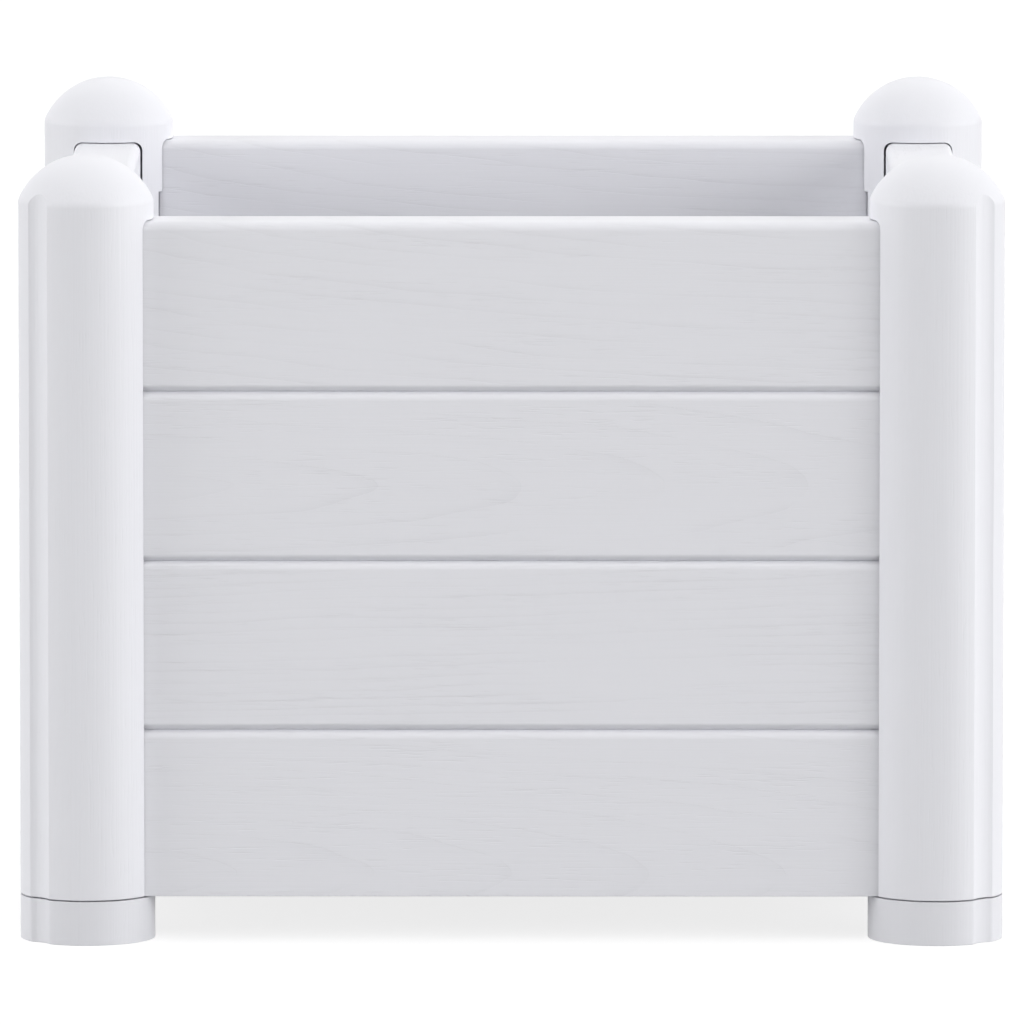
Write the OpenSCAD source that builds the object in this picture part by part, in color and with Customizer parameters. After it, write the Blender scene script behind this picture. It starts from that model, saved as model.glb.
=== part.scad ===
// Square planter: four walls of stacked hollow boards held between domed corner
// posts on foot caps, with a loose perforated floor plate inside.
// Millimetres. The origin is at the centre of the base, +Z is up and the front
// wall faces -Y.

/* [Overall] */
// Width and depth over the corner posts
planter_w = 430; // [400:1:600]
// Boards stacked in each wall
boards_high = 4; // [2:1:5]

/* [Corner posts] */
// How far a post stands out past the boards' faces
post_proud = 14.5; // [13.5:0.1:18]
// Wall thickness of a post
post_wall = 2.8; // [2:0.1:3.2]
// Height of a post's straight side above the boards
post_rise = 8.6; // [6:0.1:40]
// How much larger the dome's radius is than its post's
dome_extra = 2.5; // [1:0.1:6]
// Rounding of the shoulder between a post's side and its dome
shoulder_r = 7; // [4:0.5:12]
// Radius of the flute down the outward corner of a post
flute_r = 13; // [8:0.5:20]
// Depth of the flute
flute_depth = 2; // [1:0.1:3]
// Radius of the screw boss inside a post
boss_r = 7; // [5:0.5:9]
// Thickness of the four ribs between the boss and the post's wall
post_rib_t = 1.8; // [1.4:0.1:2.2]

/* [Openings for the boards] */
// Clearance beside a board's outer face in its post opening
slot_outer_gap = 0.3; // [0.2:0.1:1.3]
// Clearance beside a board's inner face in its post opening
slot_inner_gap = 0.9; // [0.2:0.1:1.3]
// Clearance above the top board in its post opening
slot_top_gap = 0.4; // [0.2:0.1:4]
// Corner radius at the top of an opening
slot_corner_r = 4; // [2:0.5:8]
// Extra width of an opening on its inner side, under its snug top
relief_w = 2.2; // [0.4:0.1:2.6]
// Height of the snug top of an opening
snug_h = 23.5; // [10:0.5:40]

/* [Boards] */
// Height of a board
board_h = 74.3; // [60:0.1:110]
// Thickness of a board
board_t = 30; // [28:0.5:31]
// Thickness of a board's skins
skin_t = 2.4; // [1.6:0.1:3]
// Thickness of the webs across a board's hollow
web_t = 2; // [1.2:0.1:3]
// Rounding of a board's upper long edges
board_top_r = 4; // [2:0.5:5]
// Height of the chamfers along the lower edges of the boards above the lowest
chamfer_h = 2.2; // [1:0.1:3]
// Depth of these chamfers
chamfer_d = 3.4; // [2:0.1:4]
// How much lower the lowest boards are than the others
base_trim = 1.1; // [0:0.1:2]
// Width of the tongue along the top of a board
tongue_w = 18; // [12:0.5:19]
// Height of the tongue
tongue_h = 8; // [4:0.5:12]
// Clearance around the tongue in the board above
tongue_gap = 0.4; // [0.2:0.1:0.8]
// Depth of the rebate down a board's inner face at each end
rebate_d = 0.9; // [0.3:0.1:1.2]
// How far the snug top of an opening laps over the rebate's shoulder
rebate_lap = 1.2; // [0.3:0.1:3]
// How far the catch along a board's end stands out of its outer face
catch_w = 2.3; // [1.8:0.1:2.4]
// Length of the catch along the board
catch_l = 2.4; // [1.6:0.1:2.5]
// Clearance between the catch's tip and the inside of the post's wall
catch_gap = 0.33; // [0.2:0.01:0.5]

/* [Foot caps] */
// Height of a foot cap's outer rim
foot_h = 19.2; // [14:0.1:40]
// How far a foot cap's side is set in from the post's
foot_inset = 0; // [0:0.1:1]
// Height of the shadow gap between a foot cap's rim and its post
seam_gap = 0.6; // [0.3:0.1:1.5]
// Depth of the shadow gap; past the post's wall, the post stands on its boss and ribs alone
seam_depth = 4; // [1:0.1:4.4]
// Wall thickness of a foot cap
foot_wall = 2.6; // [2:0.1:4]
// Thickness of the deck that carries the post and the board ends
deck_t = 3; // [2:0.5:5]
// Height of the spigots that locate the post
spigot_h = 12; // [6:0.5:20]
// Thickness of the spigots
spigot_t = 2.2; // [1.6:0.1:3]
// Clearance between the spigots and the post
spigot_gap = 0.3; // [0.2:0.1:0.6]
// How far the screw tower and ribs stay clear of the ground
foot_recess = 1; // [0.5:0.5:3]
// Thickness of the ribs under the deck
foot_rib_t = 2; // [1.2:0.1:3]

/* [Foot screws] */
// Radius of a screw's thread
screw_r = 2.4; // [2:0.1:3]
// Length of a screw under its head
screw_l = 32; // [26:0.5:50]
// Length of a screw's point
point_l = 5; // [3:0.5:8]
// Radius of a screw's head
screw_head_r = 4.7; // [4:0.1:5.5]
// Height of a screw's head
screw_head_h = 3.2; // [2:0.1:4]
// Length of one slot of the cross recess
recess_l = 5; // [3:0.1:6]
// Width of a slot of the cross recess
recess_w = 1.1; // [0.8:0.1:1.6]
// Depth of the cross recess
recess_depth = 1.8; // [1:0.1:2]
// Height of the face that a screw's head bears on
screw_seat_z = 8; // [6:0.5:12]
// Clearance around a screw's head in its pocket
head_gap = 0.8; // [0.4:0.1:1]
// Clearance around a screw in its foot cap
shank_gap = 0.3; // [0.2:0.1:0.5]
// Clearance around a screw's thread in the boss
thread_gap = 0.05; // [0.02:0.01:0.1]
// Free depth of the boss's hole past a screw's point
hole_run_out = 4; // [2:0.5:10]
// Wall around a screw head's pocket
tower_wall = 2.5; // [2:0.1:4]

/* [Floor plate] */
// Height of the floor plate's underside above the ground
floor_z = 45; // [40:1:70]
// Thickness of the floor plate
floor_t = 3; // [2:0.5:5]
// Clearance between the floor plate and the walls and posts
floor_gap = 1.5; // [0.6:0.1:3]
// Depth of the ribs under the floor plate
floor_rib_h = 14; // [6:0.5:18]
// Thickness of the floor plate's ribs
floor_rib_t = 3; // [2:0.5:4]
// Spacing of the floor plate's ribs
floor_rib_pitch = 40; // [36:1:44]
// Clearance between the ends of the ribs and the ledges
floor_rib_gap = 3.5; // [1:0.5:8]
// Radius of a drain hole
drain_r = 4; // [2:0.5:6]

/* [Ledges under the floor plate] */
// How far a ledge stands out of the lowest board
ledge_w = 12; // [8:0.5:20]
// Thickness of a ledge
ledge_t = 3; // [2:0.5:5]
// Clearance along the wall between a ledge's end and the corner post
ledge_end_gap = 16; // [4:0.5:40]
// Height of the gussets under a ledge
gusset_h = 11; // [6:0.5:14]
// Thickness of a gusset
gusset_t = 2.4; // [1.6:0.1:4]
// Gussets under each ledge
gussets = 5; // [2:1:9]

/* [Hidden] */
$fn = 96;
through = 1; // how far a cutter runs past the face that it cuts

// Each corner post stands at (post_axis, post_axis), turned about the centre.
CORNERS = [["rear_right", 0], ["rear_left", 90], ["front_left", 180], ["front_right", 270]];
// Each wall is the front one, turned about the centre.
WALLS = [["front", 0], ["right", 90], ["rear", 180], ["left", 270]];
LEVELS = [1:boards_high];

function post_name(corner) = str(corner[0], "_post");
function foot_name(corner) = str(corner[0], "_foot");
function board_name(wall, level) = str(wall[0], "_board_", level);

post_r = board_t / 2 + post_proud; // the boards run to the posts' axes, centred on them
dome_r = post_r + dome_extra;
post_axis = planter_w / 2 - post_r;
inner_wall = post_axis - board_t / 2; // from the centre to a wall's inner face
deck_z = foot_h + seam_gap; // the posts and the lowest boards stand here
stack_z = deck_z - base_trim; // where the lowest boards would start without their trim
stack_top_z = stack_z + boards_high * board_h;
dome_z = stack_top_z + post_rise - sqrt(pow(dome_r, 2) - pow(post_r, 2)); // the dome's centre
// The shoulder's arc touches the dome from inside, and the post's side.
shoulder_axis = post_r - shoulder_r;
shoulder_z = dome_z + sqrt(pow(dome_r - shoulder_r, 2) - pow(shoulder_axis, 2));
shoulder_turn = atan2(shoulder_z - dome_z, shoulder_axis);
flute_axis = post_r - flute_depth + flute_r;

slot_outer = board_t / 2 + slot_outer_gap;
slot_inner = board_t / 2 + slot_inner_gap;
slot_top_z = stack_top_z + slot_top_gap;
// The openings cut the post's wall and stop short of its ribs.
slot_overcut = 0.5;
slot_depth_axis = sqrt(pow(post_r - post_wall, 2) - pow(slot_inner + relief_w, 2)) - slot_overcut;

// A board ends where its catch's tip clears the inside of the post's wall.
catch_tip_axis = sqrt(pow(post_r - post_wall - catch_gap, 2) - pow(board_t / 2 + catch_w, 2));
board_l = 2 * (post_axis - catch_tip_axis + catch_l);
groove_h = tongue_h + tongue_gap;
// The rebate's shoulder stands just behind the edge of the snug opening.
rebate_axis = sqrt(pow(post_r, 2) - pow(slot_inner, 2)) - rebate_lap;
cells = 3;

tower_r = screw_head_r + head_gap + tower_wall;
boss_hole_h = screw_seat_z + screw_l - deck_z + hole_run_out;

floor_w = 2 * (inner_wall - floor_gap);
floor_rib_reach = inner_wall - ledge_w - floor_rib_gap;
floor_ribs = floor(floor_rib_reach / floor_rib_pitch + 0.5); // on each side of the centre
ledge_l = 2 * (post_axis - post_r - ledge_end_gap);

resin = [0.93, 0.93, 0.95];
post_resin = [0.94, 0.94, 0.96];
foot_resin = [0.9, 0.9, 0.93];
floor_resin = [0.88, 0.88, 0.9];
steel = [0.68, 0.69, 0.7];

// ---- shared shapes ----

module at_corner(corner) {
    rotate([0, 0, corner[1]]) translate([post_axis, post_axis, 0]) children();
}

module on_wall(wall) {
    rotate([0, 0, wall[1]]) translate([0, -post_axis, 0]) children();
}

// A post's outline with its flute, moved in by inset on every side.
module outline(inset = 0) {
    difference() {
        circle(post_r - inset);
        rotate(45) translate([flute_axis, 0]) circle(flute_r + inset);
    }
}

// Two ribs of thickness t that cross on a post's axis, along its diagonals.
module cross_ribs(t) {
    for (turn = [45, 135]) rotate(turn) square([2 * post_r, t], center = true);
}

// A w by h rectangle that stands on the X axis, with its own radius at the
// lower and the upper corners.
module rounded(w, h, low_r, high_r) {
    translate([-w / 2, low_r]) square([w, h - low_r - high_r]);
    if (low_r > 0) translate([-w / 2 + low_r, 0]) square([w - 2 * low_r, low_r]);
    if (high_r > 0) translate([-w / 2 + high_r, h - high_r]) square([w - 2 * high_r, high_r]);
    for (side = [-1, 1]) {
        if (low_r > 0) translate([side * (w / 2 - low_r), low_r]) circle(low_r);
        if (high_r > 0) translate([side * (w / 2 - high_r), h - high_r]) circle(high_r);
    }
}

// Extrudes an outline drawn in Y and Z along +X.
module along_x(l) {
    rotate([90, 0, 90]) linear_extrude(l) children();
}

// ---- corner posts ----

// The part of a circle between two directions, up to a quarter turn.
module sector(r, from, to) {
    intersection() {
        circle(r);
        polygon([[0, 0], 2 * r * [cos(from), sin(from)], 2 * r * [cos(to), sin(to)]]);
    }
}

// Half of a post's section: its side, its shoulder and its dome.
module post_section(inset, base_z) {
    translate([0, base_z]) square([post_r - inset, shoulder_z - base_z]);
    translate([shoulder_axis, shoulder_z]) sector(shoulder_r - inset, 0, shoulder_turn);
    translate([0, dome_z]) sector(dome_r - inset, shoulder_turn, 90);
}

// A post's outer form from base_z up, moved in by inset on every side.
module post_form(inset = 0, base_z = deck_z) {
    difference() {
        rotate_extrude() post_section(inset, base_z);
        rotate(45) translate([flute_axis, 0, base_z - through])
            cylinder(r = flute_r + inset, h = dome_z + dome_r + 2 * through - base_z);
    }
}

// The opening for the board that arrives from -X, whose inner face is at -Y. It is
// open at the bottom, where the foot cap closes it, and wider on its inner side
// under its top.
module board_opening() {
    opening_h = slot_top_z - deck_z + through;
    translate([-post_r - through, 0, deck_z - through]) along_x(post_r + through - slot_depth_axis) {
        translate([(slot_outer - slot_inner) / 2, 0])
            rounded(slot_outer + slot_inner, opening_h, 0, slot_corner_r);
        translate([-slot_inner - relief_w, 0]) square([slot_inner + relief_w, opening_h - snug_h]);
    }
}

module corner_post() {
    color(post_resin) difference() {
        post_form();
        difference() {
            post_form(post_wall, deck_z - through);
            translate([0, 0, deck_z - 2 * through]) linear_extrude(dome_z + dome_r - deck_z) {
                circle(boss_r);
                cross_ribs(post_rib_t);
            }
        }
        board_opening();
        mirror([1, -1, 0]) board_opening();
        translate([0, 0, deck_z - through])
            cylinder(r = screw_r + thread_gap, h = boss_hole_h + through);
    }
}

// ---- foot caps ----

// Two curved spigots on the side away from the boards, clear of the ribs.
module spigots() {
    difference() {
        outline(post_wall + spigot_gap);
        outline(post_wall + spigot_gap + spigot_t);
        cross_ribs(post_rib_t + 2 * spigot_gap);
        rotate(45) translate([-4 * post_r, -2 * post_r]) square(4 * post_r);
    }
}

module foot_cap() {
    color(foot_resin) difference() {
        union() {
            linear_extrude(foot_h) outline(foot_inset);
            linear_extrude(deck_z) outline(seam_depth);
            translate([0, 0, deck_z]) linear_extrude(spigot_h) spigots();
        }
        difference() {
            translate([0, 0, -through])
                linear_extrude(deck_z - deck_t + through) outline(foot_inset + foot_wall);
            translate([0, 0, foot_recess]) linear_extrude(deck_z) {
                circle(tower_r);
                cross_ribs(foot_rib_t);
            }
        }
        translate([0, 0, -through])
            cylinder(r = screw_head_r + head_gap, h = screw_seat_z + through);
        cylinder(r = screw_r + shank_gap, h = deck_z + through);
    }
}

// ---- screws, one up through each foot cap into its post ----

module foot_screw() {
    head_z = screw_seat_z - screw_head_h;
    head_dome_r = 1.5 * screw_head_r;
    difference() {
        union() {
            intersection() {
                translate([0, 0, head_z]) cylinder(r = screw_head_r, h = screw_head_h);
                translate([0, 0, head_z + head_dome_r]) sphere(head_dome_r);
            }
            translate([0, 0, screw_seat_z]) cylinder(r = screw_r, h = screw_l - point_l);
            translate([0, 0, screw_seat_z + screw_l - point_l])
                cylinder(r1 = screw_r, r2 = screw_r / 8, h = point_l);
        }
        for (turn = [0, 90]) rotate(turn)
            translate([-recess_l / 2, -recess_w / 2, head_z - through])
                cube([recess_l, recess_w, recess_depth + through]);
    }
}

module foot_screws() {
    color(steel) for (c = CORNERS) at_corner(c) foot_screw();
}

// ---- boards ----

// The space of the chamfer along a board's lower edge, in the board's section.
module lower_chamfer() {
    polygon([[board_t / 2 - chamfer_d, -through], [board_t / 2 - chamfer_d, 0], [board_t / 2, chamfer_h],
        [board_t / 2 + through, chamfer_h], [board_t / 2 + through, -through]]);
}

// A board's section, thickness along X and height along Y, outer face at -X.
module board_section(is_base, has_tongue) {
    low = is_base ? base_trim : 0;
    hollow_low = (is_base ? low : groove_h) + skin_t;
    cell_h = (board_h - skin_t - hollow_low - (cells - 1) * web_t) / cells;
    cell_r = max(board_top_r - skin_t, 0.5);
    difference() {
        translate([0, low]) rounded(board_t, board_h - low, 0, board_top_r);
        for (i = [0:cells - 1])
            translate([0, hollow_low + i * (cell_h + web_t)])
                rounded(board_t - 2 * skin_t, cell_h, cell_r, cell_r);
        if (!is_base) {
            translate([-tongue_w / 2 - tongue_gap, -through])
                square([tongue_w + 2 * tongue_gap, groove_h + through]);
            for (side = [0, 1]) mirror([side, 0]) lower_chamfer();
        }
    }
    if (has_tongue) for (side = [0, 1]) mirror([side, 0])
        translate([tongue_w / 2 - skin_t, board_h - skin_t]) square([skin_t, tongue_h + skin_t]);
}

// The catch down each end of a board, which holds behind the post's wall.
module end_catches() {
    catch_low = max(chamfer_h, base_trim);
    for (end = [0, 1]) mirror([end, 0, 0])
        translate([board_l / 2, -board_t / 2, catch_low])
            linear_extrude(board_h - catch_low - board_top_r)
                polygon([[0, 0], [-catch_l, -catch_w], [-catch_l, skin_t / 2], [0, skin_t / 2]]);
}

// The space of the rebates down the inner face at a board's ends.
module end_rebates() {
    rebate_l = board_l / 2 - post_axis + rebate_axis;
    for (end = [0, 1]) mirror([end, 0, 0])
        translate([board_l / 2 - rebate_l, board_t / 2 - rebate_d, -through])
            cube([rebate_l + through, rebate_d + through, board_h + 2 * through]);
}

// The ledge on the lowest board's inner face, with its gussets.
module floor_ledge() {
    ledge_top = floor_z - stack_z;
    root = skin_t / 2; // how deep the ledge starts in the board's skin
    translate([-ledge_l / 2, board_t / 2 - root, ledge_top - ledge_t])
        cube([ledge_l, ledge_w + root, ledge_t]);
    for (i = [0:gussets - 1]) {
        x = -ledge_l / 2 + i * (ledge_l - gusset_t) / (gussets - 1);
        translate([x, board_t / 2, ledge_top - ledge_t]) along_x(gusset_t)
            polygon([[-root, 0], [ledge_w, 0], [0, -gusset_h], [-root, -gusset_h]]);
    }
}

module board(wall, level) {
    color(resin) on_wall(wall) translate([0, 0, stack_z + (level - 1) * board_h]) {
        difference() {
            translate([-board_l / 2, 0, 0]) along_x(board_l)
                board_section(level == 1, level < boards_high);
            end_rebates();
        }
        end_catches();
        if (level == 1) floor_ledge();
    }
}

// ---- loose floor plate ----

module floor_plate() {
    hole_reach = floor_ribs - 1; // cells with a hole on each side of the middle one
    color(floor_resin) difference() {
        union() {
            translate([-floor_w / 2, -floor_w / 2, floor_z]) cube([floor_w, floor_w, floor_t]);
            for (turn = [0, 90], i = [-floor_ribs:floor_ribs - 1]) rotate(turn)
                translate([(i + 0.5) * floor_rib_pitch - floor_rib_t / 2, -floor_rib_reach,
                    floor_z - floor_rib_h])
                    cube([floor_rib_t, 2 * floor_rib_reach, floor_rib_h]);
        }
        for (c = CORNERS) at_corner(c) translate([0, 0, floor_z - floor_rib_h - through])
            cylinder(r = post_r + floor_gap, h = floor_rib_h + floor_t + 2 * through);
        for (i = [-hole_reach:hole_reach], j = [-hole_reach:hole_reach])
            translate([i * floor_rib_pitch, j * floor_rib_pitch, floor_z - through])
                cylinder(r = drain_r, h = floor_t + 2 * through);
    }
}

for (c = CORNERS) {
    at_corner(c) corner_post();
    at_corner(c) foot_cap();
}
foot_screws();
for (w = WALLS, level = LEVELS)
    board(w, level);
floor_plate();
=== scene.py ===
# %% [markdown]
# # A square planter of wood-grained resin
# The planter is four walls of stacked boards between round corner posts with domed
# tops, each post on a foot cap. A loose perforated plate is its floor. All that shows is
# white moulded plastic, so the look rests on three things: crisp shapes with softened
# moulding edges, a shallow embossed wood grain, and very even light.
#
# The exact model of every piece is loaded first. It is fixed, and everything that
# follows is fitted to it, in metres.

# %% Load the exact model
import math

import bmesh
import bpy
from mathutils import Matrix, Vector


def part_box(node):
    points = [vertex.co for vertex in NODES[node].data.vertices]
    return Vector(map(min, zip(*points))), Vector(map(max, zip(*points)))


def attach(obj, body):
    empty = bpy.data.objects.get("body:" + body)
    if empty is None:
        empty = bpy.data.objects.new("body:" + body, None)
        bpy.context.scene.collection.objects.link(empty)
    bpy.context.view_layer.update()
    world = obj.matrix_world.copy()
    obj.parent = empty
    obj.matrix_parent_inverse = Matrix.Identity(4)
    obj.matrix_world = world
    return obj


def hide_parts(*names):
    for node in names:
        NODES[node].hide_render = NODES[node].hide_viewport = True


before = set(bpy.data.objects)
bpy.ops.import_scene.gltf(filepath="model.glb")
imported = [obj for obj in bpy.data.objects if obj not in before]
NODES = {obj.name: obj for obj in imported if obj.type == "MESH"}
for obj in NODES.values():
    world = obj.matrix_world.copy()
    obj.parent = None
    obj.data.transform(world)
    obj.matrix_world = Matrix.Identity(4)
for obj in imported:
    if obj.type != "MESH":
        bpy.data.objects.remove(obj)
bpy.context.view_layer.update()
MM = 0.001
CORNERS = ("front_left", "front_right", "rear_left", "rear_right")

# %% [markdown]
# ## The camera
# The picture is a product shot: the planter seen from straight ahead, a little from
# above, through a very long lens, so the rear posts look almost as large as the front
# ones. A camera 7 m away with a 560 mm lens gives that flat perspective. Its two
# turns are small: it looks down by under seven degrees, and a hair to the left,
# because it stands a hair to the right.

# %% Camera
LOOK_DOWN, LOOK_LEFT = 6.793, 0.118  # degrees
camera_data = bpy.data.cameras.new("camera")
camera_data.sensor_width = 36
camera_data.lens = 562.0
camera_data.clip_end = 200
camera = bpy.data.objects.new("camera", camera_data)
camera.location = (0.0145, -7.118, 1.013)
camera.rotation_euler = (math.radians(90 - LOOK_DOWN), 0, math.radians(LOOK_LEFT))
bpy.context.scene.collection.objects.link(camera)
bpy.context.scene.camera = camera
print("camera at", tuple(camera.location))

# %% [markdown]
# ## Writing a finish as sums
# A finish is a network of small nodes. Drawing dozens of Math nodes by hand is slow
# to read, so a `Value` stands for one output of a node, and adding or multiplying
# values puts the Math nodes in. Every other node comes from one method, which takes
# the node's type, its settings, and what goes into its sockets.

# %% Helpers for materials
class Value:
    """One output of a node. Sums with it add Math nodes to its network."""

    def __init__(self, network, socket):
        self.network, self.socket = network, socket

    def maths(self, operation, *inputs):
        numbered = {f"_{place}": value for place, value in enumerate(inputs)}
        return self.network.node("ShaderNodeMath", {"operation": operation}, **numbered)

    def __add__(self, other):
        return self.maths("ADD", self, other)

    def __sub__(self, other):
        return self.maths("SUBTRACT", self, other)

    def __rsub__(self, other):
        return self.maths("SUBTRACT", other, self)

    def __mul__(self, other):
        return self.maths("MULTIPLY", self, other)

    def __pow__(self, other):
        return self.maths("POWER", self, other)

    __radd__, __rmul__ = __add__, __mul__

    def root(self):
        return self.maths("SQRT", self)

    def fraction(self):
        return self.maths("FRACT", self)

    def larger(self, other):
        return self.maths("MAXIMUM", self, other)

    def smooth(self, low, high):
        """0 below low, 1 above high, and a soft step between them."""
        return self.network.node("ShaderNodeMapRange", {"interpolation_type": "SMOOTHSTEP"},
                                 Value=self, From_Min=low, From_Max=high)


class Network:
    """The nodes of a material or of the sky."""

    def __init__(self, tree):
        self.tree = tree

    def plug(self, socket, value):
        if isinstance(value, Value):
            self.tree.links.new(value.socket, socket)
        else:
            socket.default_value = value

    def node(self, kind, settings=None, out=0, **sockets):
        """Adds a node. Settings come first, then sockets, by name or as _0, _1 by place."""
        node = self.tree.nodes.new(kind)
        for name, value in (settings or {}).items():
            setattr(node, name, value)
        for name, value in sockets.items():
            place = int(name[1:]) if name.startswith("_") else name.replace("_", " ")
            self.plug(node.inputs[place], value)
        return Value(self, node.outputs[out])

    def mix(self, factor, a, b):
        """The colour a where factor is 0 and b where it is 1."""
        # a Mix node lists its colour sockets after those for numbers and vectors
        return self.node("ShaderNodeMix", {"data_type": "RGBA"}, out=2, Factor=factor, _6=a, _7=b)


class Finish(Network):
    """A material with one shader, and the nodes that feed it."""

    def __init__(self, name, **uniform):
        self.material = bpy.data.materials.new(name)
        self.material.use_nodes = True
        super().__init__(self.material.node_tree)
        self.shader = self.tree.nodes["Principled BSDF"]
        self.feed(**uniform)

    def feed(self, **sockets):
        """Sets or links the shader's own sockets."""
        for name, value in sockets.items():
            self.plug(self.shader.inputs[name.replace("_", " ")], value)

    def axes(self):
        """The point on the piece as three numbers, in metres."""
        point = self.node("ShaderNodeTexCoord", out="Object")
        return [self.node("ShaderNodeSeparateXYZ", out=axis, Vector=point) for axis in "XYZ"]

    def noise(self, scale, detail, location=(0, 0, 0)):
        """Soft noise whose cells are 1 / scale metres long on each axis."""
        point = self.node("ShaderNodeTexCoord", out="Object")
        point = self.node("ShaderNodeMapping", {"vector_type": "POINT"},
                          Vector=point, Location=location, Scale=scale)
        return self.node("ShaderNodeTexNoise", Vector=point, Scale=1.0, Detail=detail)

    def emboss(self, height, distance, strength):
        """Presses a pattern in: distance is how deep, in metres, a height of 1 is."""
        self.feed(Normal=self.node("ShaderNodeBump", Strength=strength,
                                   Distance=distance, Height=height))


print("helpers ready")

# %% [markdown]
# ## The resin
# All the white pieces are one plastic: a pale, faintly bluish white, matt but not
# chalky. The mould's wood grain shows more by its shading than by its colour, so
# the grain is mostly a height for a Bump node, a tenth of a millimetre deep, and its
# colour is nowhere more than about a twentieth darker.

# %% Colours of the resin
RESIN = (0.823, 0.825, 0.863)
DOWN_IN_THE_GRAIN = 0.945
SPECULAR = 0.4
SMOOTHEST, ROUGHER = 0.44, 0.1  # roughness of the resin, and what its fibres add
GRAIN_DEPTH, GRAIN_STRENGTH = 0.12 * MM, 0.7


def tint(share):
    """The resin's colour times share, with the alpha that a socket wants."""
    return tuple(share * channel for channel in RESIN) + (1,)


print("white resin:", tint(1), "and down in its grain:", tint(DOWN_IN_THE_GRAIN))

# %% [markdown]
# ## Grain along a board
# Grain on a sawn board is a slice through a tree's rings. A ring is a distance from
# the heart of the trunk, so each board is given a heart of its own: how high it lies,
# how deep, and how much the trunk tapers. Where the heart lies within the board, the
# rings meet in pointed arches. Where it lies far off, they run straight. Fine fibres
# and short pores lie over the rings, along the board.

# %% Board finish
WANDER = 10 * MM          # how far a ring strays from its circle
RING_EDGE = 7.0           # a high power leaves only the hard outer edge of each ring
FIBRES, PORES = 0.5, 0.6  # how strongly they mark the grain, where a ring's edge is 1
BOARD_TINT = 0.6          # how much of the grain shows as colour too


def stretched(along, across, up, lengthwise):
    """Noise cells to a metre on X, Y and Z, drawn out along a board."""
    scale = [across, across, up]
    scale[along] = lengthwise
    return scale


def board_finish(name, along, heart_z, depth, taper, ring):
    """along is 0 for boards along X and 1 for boards along Y; sizes in metres."""
    resin = Finish(name, Specular_IOR_Level=SPECULAR)
    axes = resin.axes()
    length, z = axes[along], axes[2]
    # moved by the heart's height, so that no two levels wander alike
    wander = resin.noise(stretched(along, 40, 60, 7), 2.0, (heart_z * 30, 0, 0)) - 0.5
    height = z - heart_z + wander * WANDER
    reach = length * taper + depth
    radius = (height * height + reach * reach).root()
    late_wood = (radius * (1 / ring)).fraction() ** RING_EDGE

    fibres = resin.noise(stretched(along, 1500, 1500, 22), 3.0)
    pores = resin.noise(stretched(along, 1100, 1500, 70), 1.0, (3, 5, 7)).smooth(0.60, 0.70)
    patches = resin.noise(stretched(along, 30, 90, 9), 1.0).smooth(0.3, 0.65)

    grain = late_wood * patches + (1 - fibres) * FIBRES + pores * patches * PORES
    resin.feed(Base_Color=resin.mix(grain * BOARD_TINT, tint(1), tint(DOWN_IN_THE_GRAIN)),
               Roughness=fibres * ROUGHER + SMOOTHEST)
    resin.emboss(1 - grain, GRAIN_DEPTH, GRAIN_STRENGTH)
    return resin.material


# heart height, depth, taper and ring width for each level of a wall, from the lowest board
FIGURES = ((0.030, 0.030, 0.10, 0.0060), (0.300, 0.060, 0.08, 0.0040),
           (0.200, 0.022, 0.12, 0.0075), (0.420, 0.050, -0.25, 0.0070))
WALLS = (("front", 0), ("right", 1), ("rear", 0), ("left", 1))
print("figures for", len(FIGURES), "levels of", len(WALLS), "walls")

# %% [markdown]
# ## Grain up a post
# The posts and foot caps carry the same grain, but upright: long fine streaks with
# nothing across them. On a dome the streaks fade, because the mould's grain was
# cut along the straight side.

# %% Post finish
POST_PORES, POST_TINT = 0.3, 0.4
POST_SHARE, FOOT_SHARE = 0.985, 0.93         # of the boards' colour
DOME_STARTS, DOME_BARE = 322 * MM, 338 * MM  # heights between which the streaks fade
DOME_FADE = 0.7                              # and what they lose there


def upright_finish(name, share):
    resin = Finish(name, Specular_IOR_Level=SPECULAR)
    z = resin.axes()[2]
    streaks = resin.noise((900, 900, 9), 3.0)
    pores = resin.noise((1300, 1300, 80), 1.0).smooth(0.62, 0.72)
    fade = 1 - z.smooth(DOME_STARTS, DOME_BARE) * DOME_FADE
    grain = ((1 - streaks) + pores * POST_PORES) * fade
    light, dark = tint(share), tint(share * DOWN_IN_THE_GRAIN)
    resin.feed(Base_Color=resin.mix(grain * POST_TINT, light, dark),
               Roughness=streaks * ROUGHER + SMOOTHEST)
    resin.emboss(1 - grain, GRAIN_DEPTH, GRAIN_STRENGTH)
    return resin.material


post_resin = upright_finish("post_resin_grain", POST_SHARE)
foot_resin = upright_finish("foot_resin_grain", FOOT_SHARE)
print("post and foot resin ready")

# %% [markdown]
# ## Softened edges
# The exact pieces have knife-sharp edges, and no moulding has: resin shrinks away from
# a corner, and a mould is radiused so that it lets go. An edge that is only half a
# millimetre round still catches a line of light, and that line is what makes a piece
# look real. The form itself is right already, so each new piece is a merged copy of
# the exact one. Slivers between its triangles are closed and flat triangles dissolved
# into whole faces first, because a bevel runs cleanly only along real corners.
#
# A shallow corner is rounded wider than a sharp one, so a piece may get more than one
# round of bevels, the widest first. Corners hidden inside a post stay as they are, for
# nobody sees them. Every corner that is still sharp is marked as a crease, so that the
# even shading of one face doesn't run over into the next.

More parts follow.
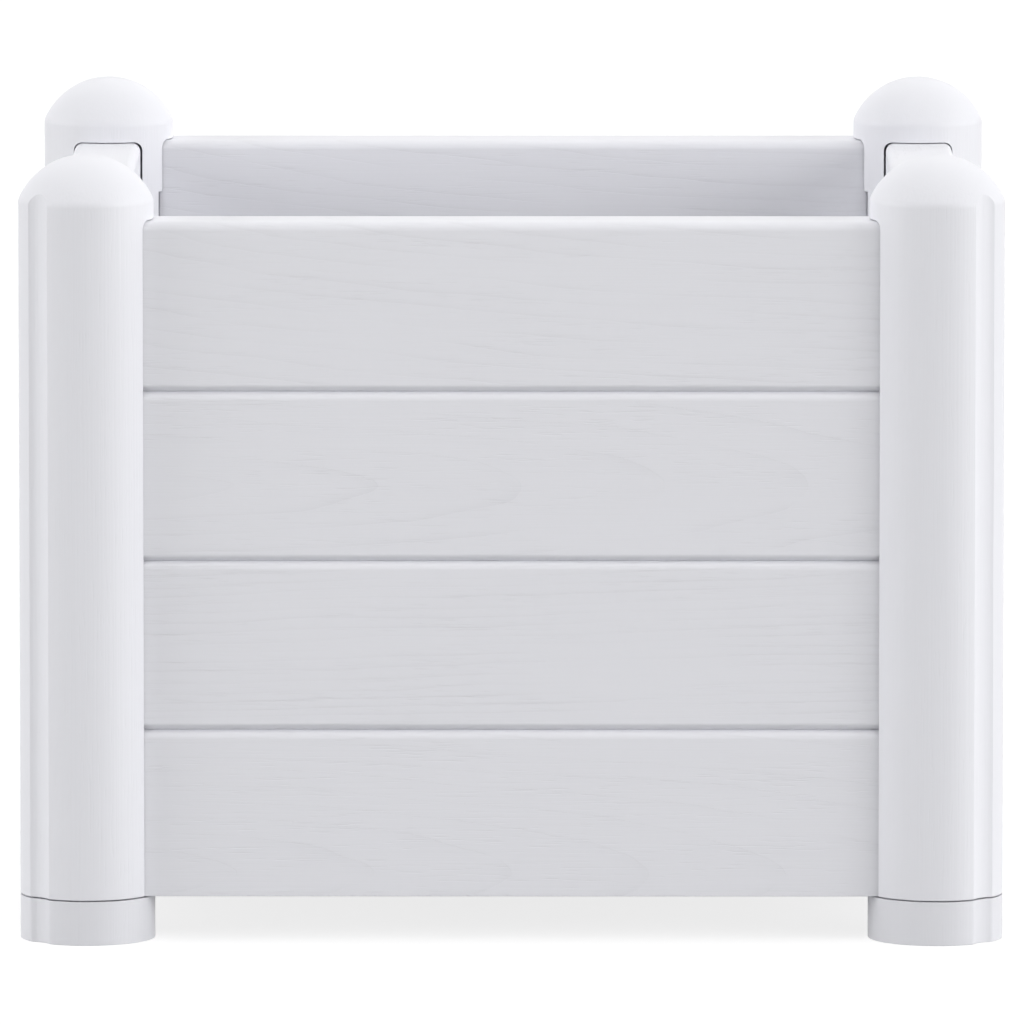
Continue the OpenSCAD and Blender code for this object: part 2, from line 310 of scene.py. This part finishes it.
# %% Soften a moulding
SAME_POINT = 0.002 * MM
SLIVER = 0.08 * MM
FLAT = math.radians(0.3)
CREASE = math.radians(30)
ROUND_STEPS = 3
post_low, post_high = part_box("front_right_post")
POST_AXIS = (post_low[0] + post_high[0]) / 2
POST_R = (post_high[0] - post_low[0]) / 2
POST_SKIN = 2.5 * MM  # a little less than the walls, so that inner corners are left out
SHOULDER_Z = 320 * MM
INTO_POST = 2 * MM    # how far past a post's inner side a board's open length goes


def outside(middle):
    """Chooses corners in the skin of a post or a foot cap, below the soft shoulder."""
    reach = math.hypot(abs(middle.x) - POST_AXIS, abs(middle.y) - POST_AXIS)
    return reach > POST_R - POST_SKIN and middle.z < SHOULDER_Z


def between_posts(along):
    """Chooses corners on the open length of a board along X (0) or Y (1)."""
    return lambda middle: abs(middle[along]) < POST_AXIS - POST_R + INTO_POST


def everywhere(middle):
    """Chooses every corner of a piece."""
    return True


def softened(node, rounds, chosen):
    """A rounded copy of a CAD piece. Each round is (from degrees, to degrees, width)."""
    bm = bmesh.new()
    bm.from_mesh(NODES[node].data)
    bmesh.ops.remove_doubles(bm, verts=bm.verts, dist=SAME_POINT)
    bmesh.ops.dissolve_degenerate(bm, edges=bm.edges, dist=SLIVER)
    bmesh.ops.dissolve_limit(bm, angle_limit=FLAT, verts=bm.verts, edges=bm.edges)
    for low, high, width in rounds:
        edges = [edge for edge in bm.edges
                 if math.radians(low) < edge.calc_face_angle(0) <= math.radians(high)
                 and chosen((edge.verts[0].co + edge.verts[1].co) / 2)]
        bmesh.ops.bevel(bm, geom=edges, offset=width, offset_type="OFFSET", affect="EDGES",
                        segments=ROUND_STEPS, profile=0.5, clamp_overlap=False, material=-1)
    return bm


def piece(bm, name, node, body, material):
    """Makes the bmesh an object that stands for a CAD node."""
    for face in bm.faces:
        face.smooth = True
    for edge in bm.edges:
        edge.smooth = edge.calc_face_angle(0) < CREASE
    mesh = bpy.data.meshes.new(name)
    bm.to_mesh(mesh)
    bm.free()
    mesh.materials.append(material)
    made = bpy.data.objects.new(name, mesh)
    bpy.context.scene.collection.objects.link(made)
    level = made.modifiers.new("even_shading", "WEIGHTED_NORMAL")
    level.keep_sharp = True
    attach(made, body)
    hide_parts(node)
    return len(mesh.polygons)


print("post axis at", POST_AXIS, "m and radius", POST_R, "m; slivers under", SLIVER, "m are closed")

# %% [markdown]
# ## The boards
# A board is a thin hollow moulding, so its sharp corners are rounded only by four
# tenths of a millimetre, those of its tongue and groove too. The upper edge of the
# chamfer over each groove is softer, a whole millimetre. A board's upper long edges are
# round already in the exact model, in steps of a few degrees, and no round of bevels
# starts low enough to touch them.

# %% Boards
BOARD_ROUNDS = ((50, 70, 1.0 * MM), (35, 180, 0.4 * MM))
for wall, along in WALLS:
    for level, figure in enumerate(FIGURES, 1):
        node = f"{wall}_board_{level}"
        faces = piece(softened(node, BOARD_ROUNDS, between_posts(along)), f"{node}_moulding",
                      node, "planter", board_finish(f"{node}_grain", along, *figure))
    print(wall, "boards made, faces in the last:", faces)

# %% [markdown]
# ## Posts and foot caps
# A post and its foot cap show a fine dark seam with a bright round edge on either
# side, so their sharp corners are rounded by three tenths of a millimetre. The two long
# edges of the flute down the outward corner are shallow and softer. The shoulder under
# the dome is part of the form.

# %% Posts and foot caps
POST_ROUNDS = ((25, 44, 0.8 * MM), (44, 180, 0.3 * MM))
for corner in CORNERS:
    post, foot = f"{corner}_post", f"{corner}_foot"
    post_faces = piece(softened(post, POST_ROUNDS, outside), f"{post}_moulding", post,
                       "planter", post_resin)
    foot_faces = piece(softened(foot, POST_ROUNDS, outside), f"{foot}_moulding", foot,
                       "planter", foot_resin)
    print(corner, "faces in post and foot:", post_faces, foot_faces)

# %% [markdown]
# ## The floor plate and the screws
# The plate isn't meant to be seen once the planter is filled, so its mould is plain:
# a satin surface with the fine speckle of spark erosion. The screws are zinc plated
# steel, turned, so faint rings run round them. They are small and hidden under the foot
# caps, so the exact model's own screws are left in place and only get their finish.

# %% Floor and screw finishes
SATIN, SPECKLED = 0.42, 0.12  # roughness of the plate, and what its speckle adds
PLATE_TINT = 0.5
SPECKLE_DEPTH, SPECKLE_STRENGTH = 0.04 * MM, 0.6
PLATE_ROUNDS = ((25, 180, 0.5 * MM),)
plain_resin = Finish("floor_resin_satin", Specular_IOR_Level=SPECULAR)
speckle = plain_resin.noise((1400, 1400, 1400), 2.0)
plain_resin.feed(Base_Color=plain_resin.mix(speckle * PLATE_TINT, tint(1), tint(DOWN_IN_THE_GRAIN)),
                 Roughness=speckle * SPECKLED + SATIN)
plain_resin.emboss(speckle, SPECKLE_DEPTH, SPECKLE_STRENGTH)
plate_faces = piece(softened("floor_plate", PLATE_ROUNDS, everywhere), "floor_plate_moulding",
                    "floor_plate", "floor", plain_resin.material)

DULL_ZINC, BRIGHT_ZINC = (0.55, 0.56, 0.57, 1), (0.68, 0.69, 0.68, 1)
zinc = Finish("screw_steel_zinc", Metallic=1.0)
cloud = zinc.noise((400, 400, 400), 3.0)
zinc.feed(Base_Color=zinc.mix(cloud, DULL_ZINC, BRIGHT_ZINC), Roughness=cloud * 0.25 + 0.22)
zinc.emboss(zinc.noise((300, 300, 2500), 2.0), 0.03 * MM, 0.5)
NODES["foot_screws"].material_slots[0].material = zinc.material
print("floor plate made, faces:", plate_faces)

# %% [markdown]
# ## Floor and sky
# The studio is white on white, but a white floor throws so much light back up that
# the undersides of the boards glow and the grooves between them vanish. So the floor
# and the sky answer two kinds of rays apart. A ray that shows them, in the picture or
# in a gloss, finds white, with the planter's shadow still on the floor. A ray that
# gathers light for the planter finds a mid-grey floor and no sky.

# %% Floor and sky
def shown(network):
    """1 for a ray that shows the studio itself, and 0 for one that gathers light from it."""
    kinds = ("Is Camera Ray", "Is Glossy Ray", "Is Transmission Ray")
    seen, gloss, glass = (network.node("ShaderNodeLightPath", out=kind) for kind in kinds)
    return seen.larger(gloss).larger(glass)


FLOOR_GLOW = 0.80  # the share of the floor's white that no shadow darkens
FLOOR_HALF = 60
BLACK, WHITE = (0, 0, 0, 1), (1, 1, 1, 1)
SEEN_GREY = (0.28, 0.28, 0.28, 1)   # under the lamps it adds to the glow, up to white
LIGHTING_GREY = (0.5, 0.5, 0.5, 1)  # what throws the lamps' light up at the planter
bm = bmesh.new()
bmesh.ops.create_grid(bm, x_segments=1, y_segments=1, size=FLOOR_HALF)
floor_mesh = bpy.data.meshes.new("studio_floor")
bm.to_mesh(floor_mesh)
bm.free()
studio_floor = bpy.data.objects.new("studio_floor", floor_mesh)
bpy.context.scene.collection.objects.link(studio_floor)
paint = Finish("studio_paint", Roughness=1.0, Specular_IOR_Level=0.0, Emission_Strength=FLOOR_GLOW)
paint.feed(Base_Color=paint.mix(shown(paint), LIGHTING_GREY, SEEN_GREY),
           Emission_Color=paint.mix(shown(paint), BLACK, WHITE))
floor_mesh.materials.append(paint.material)

world = bpy.data.worlds.new("sky")
world.use_nodes = True
bpy.context.scene.world = world
sky = Network(world.node_tree)
backdrop = sky.node("ShaderNodeBackground", Color=WHITE, Strength=shown(sky))
sky.plug(sky.tree.nodes["World Output"].inputs["Surface"], backdrop)
print("floor and sky ready")

# %% [markdown]
# ## Lamps
# Broad lamps from the top, the rear and the front light the boards, and three on each
# side shape the round posts. A sun lamp with a wide angle in the sky works like a large
# soft box, and lights the planter and the whole floor evenly, at any distance.

# %% Lamps
def sun(name, strength, width, azimuth, elevation):
    """azimuth 0 is the front, 90 the right; width is the lamp's angle in the sky."""
    data = bpy.data.lights.new(name, "SUN")
    data.energy = strength
    data.angle = math.radians(width)
    lamp = bpy.data.objects.new(name, data)
    turn, rise = math.radians(azimuth), math.radians(elevation)
    level = math.cos(rise)
    to_lamp = Vector((math.sin(turn) * level, -math.cos(turn) * level, math.sin(rise)))
    lamp.rotation_euler = to_lamp.to_track_quat("Z", "Y").to_euler()
    bpy.context.scene.collection.objects.link(lamp)


# name, strength, width, azimuth and elevation
LAMPS = (
    ("top_lamp", 0.81, 90, 0, 90),
    ("rear_lamp", 0.80, 60, 180, 50),
    ("front_lamp", 0.58, 60, 0, 55),
    ("far_left_lamp", 0.49, 30, -100, 12),
    ("left_lamp", 1.24, 30, -75, 12),
    ("near_left_lamp", 0.33, 20, -40, 12),
    ("far_right_lamp", 0.62, 30, 100, 12),
    ("right_lamp", 0.87, 30, 75, 12),
    ("near_right_lamp", 1.15, 30, 55, 12),
)
for lamp in LAMPS:
    sun(*lamp)
bpy.context.scene.view_settings.view_transform = "Standard"
print("lamps:", len(LAMPS))
